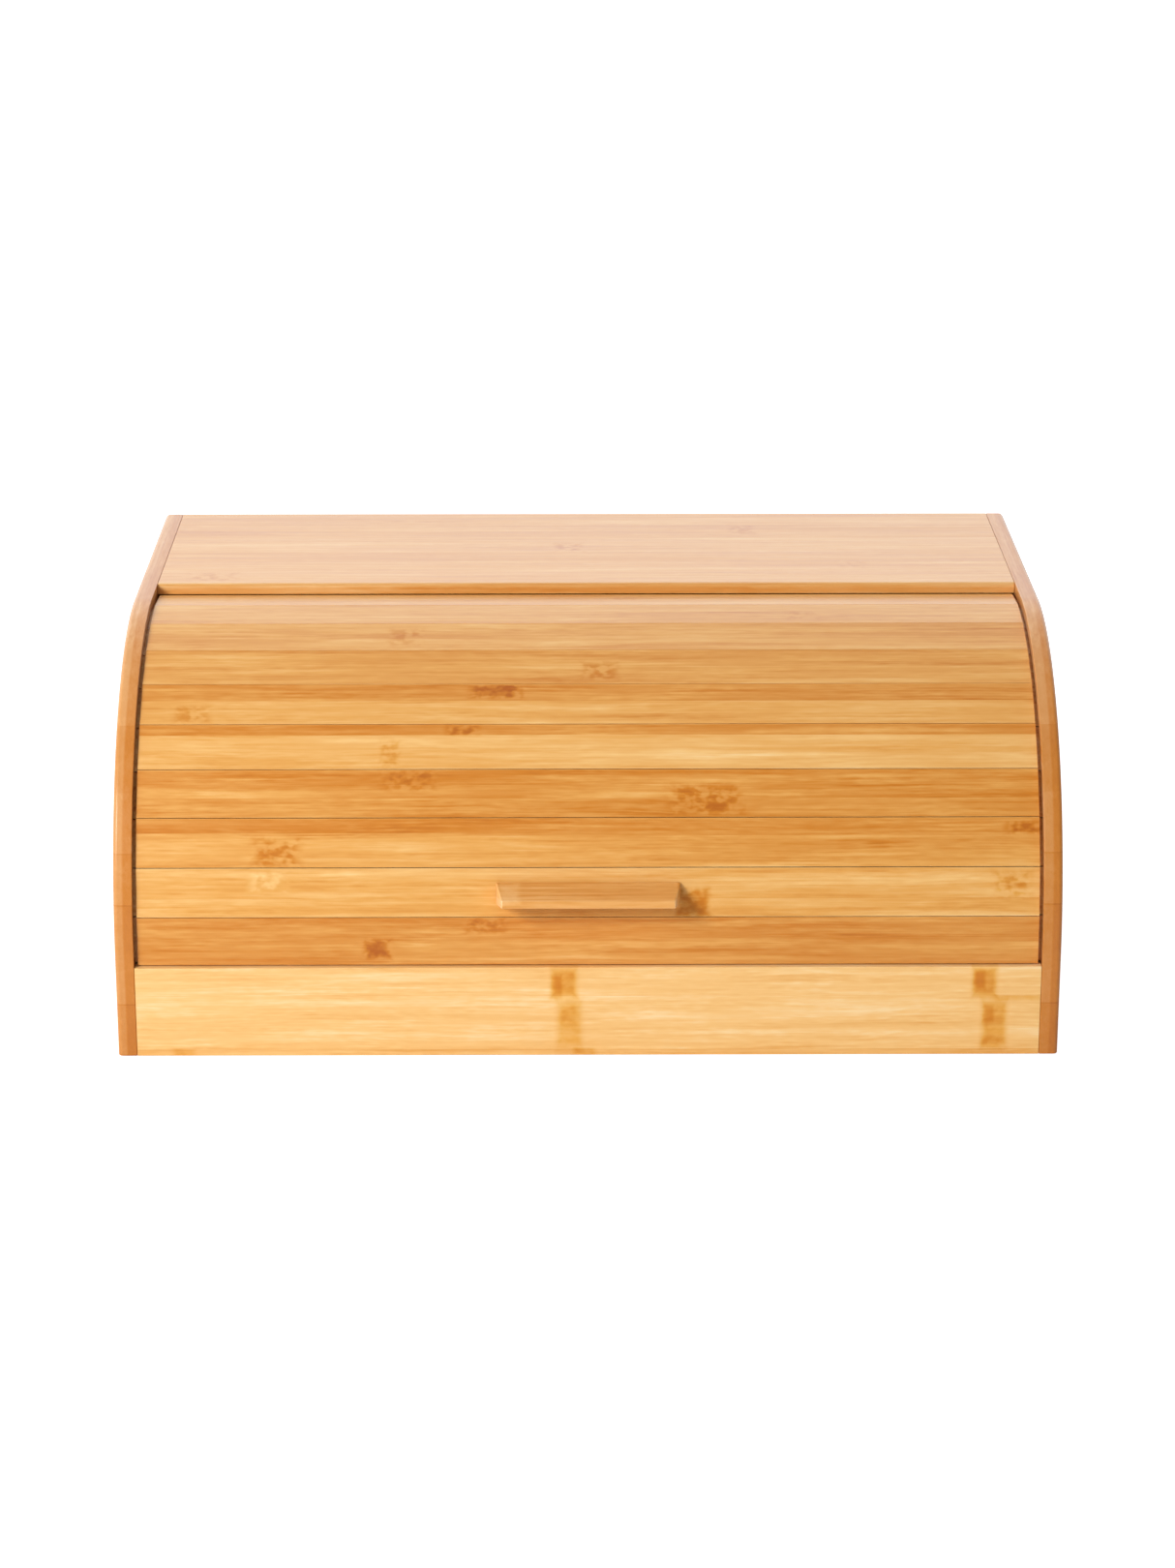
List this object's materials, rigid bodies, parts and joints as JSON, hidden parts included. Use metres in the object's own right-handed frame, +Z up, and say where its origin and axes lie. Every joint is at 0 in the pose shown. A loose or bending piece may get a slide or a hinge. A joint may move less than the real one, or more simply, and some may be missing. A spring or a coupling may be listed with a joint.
{
  "type": "bread box with roll top",
  "caption": "Bamboo bread box with a flat top, a quarter-round front and a roll-top slatted door that runs up inside the box, pulled by a small wedge handle.",
  "frame": {"origin": "on the surface that the box stands on, in the middle of its length, and in the middle of its depth with the handle", "axes": "+X along the box's length to the right seen from the front, -Y towards the front where the door opens, +Z up"},
  "size_m": [0.4, 0.2802, 0.168],
  "materials": {
    "bamboo_side": "satin lacquer, end and edge grain darker",
    "bamboo_top": "satin lacquer over edge-laminated strips",
    "bamboo_rail": "satin lacquer over edge-laminated strips",
    "bamboo_slat": "satin lacquer over edge-laminated strips",
    "bamboo_handle": "satin lacquer, eased edges",
    "bamboo_inner": "thin matt lacquer",
    "canvas": "plain-woven cotton canvas, glued",
    "steel_screw": "zinc-plated",
    "dowel_wood": "raw beech"
  },
  "bodies": {
    "cabinet": {"side_panel_left": "bamboo_side", "side_panel_right": "bamboo_side", "top_panel": "bamboo_top", "back_panel": "bamboo_inner", "bottom_panel": "bamboo_inner", "front_rail": "bamboo_rail", "dowel_top_rear_left": "dowel_wood", "dowel_top_front_left": "dowel_wood", "dowel_back_upper_left": "dowel_wood", "dowel_back_lower_left": "dowel_wood", "dowel_bottom_rear_left": "dowel_wood", "dowel_bottom_front_left": "dowel_wood", "dowel_rail_upper_left": "dowel_wood", "dowel_rail_lower_left": "dowel_wood", "dowel_top_rear_right": "dowel_wood", "dowel_top_front_right": "dowel_wood", "dowel_back_upper_right": "dowel_wood", "dowel_back_lower_right": "dowel_wood", "dowel_bottom_rear_right": "dowel_wood", "dowel_bottom_front_right": "dowel_wood", "dowel_rail_upper_right": "dowel_wood", "dowel_rail_lower_right": "dowel_wood"},
    "door": {"slat_01": "bamboo_slat", "slat_02": "bamboo_slat", "slat_03": "bamboo_slat", "slat_04": "bamboo_slat", "slat_05": "bamboo_slat", "slat_06": "bamboo_slat", "slat_07": "bamboo_slat", "slat_08": "bamboo_slat", "slat_09": "bamboo_slat", "slat_10": "bamboo_slat", "slat_11": "bamboo_slat", "canvas_backing": "canvas", "handle": "bamboo_handle", "handle_screw_left": "steel_screw", "handle_screw_right": "steel_screw"}
  },
  "joints": [
    {"name": "door_roll", "type": "hinge", "parent": "cabinet", "child": "door", "pos_m": [0, -0.00795, 0.046], "axis": [-1, 0, 0], "range_deg": [0, 85]}
  ]
}
